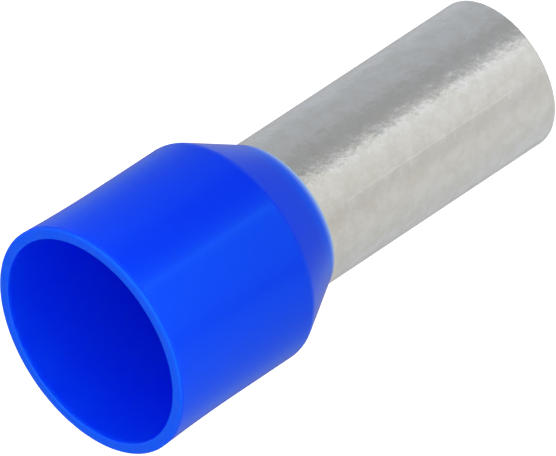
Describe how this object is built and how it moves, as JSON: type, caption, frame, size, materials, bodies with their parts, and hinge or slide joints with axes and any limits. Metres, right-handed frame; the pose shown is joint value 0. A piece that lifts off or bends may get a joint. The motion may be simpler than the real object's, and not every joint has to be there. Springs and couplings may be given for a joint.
{
  "type": "insulated bootlace ferrule",
  "caption": "Wire end sleeve: a thin tinned copper tube flared into a wide blue plastic collar with a bell mouth, pushed over a stripped stranded wire and crimped.",
  "frame": {"origin": "centre of the sleeve's tip, on the plane of its end face", "axes": "+Z along the axis from the sleeve's tip to the collar's mouth; X and Y are free, because the part is round"},
  "size_m": [0.0094, 0.0094, 0.0217],
  "materials": {
    "tinned_copper": "satin tin plate on drawn copper, slightly mottled",
    "blue_plastic": "satin moulded polypropylene, slightly translucent where it is thin"
  },
  "bodies": {
    "root": {"conductor_sleeve": "tinned_copper", "insulating_collar": "blue_plastic"}
  },
  "joints": []
}
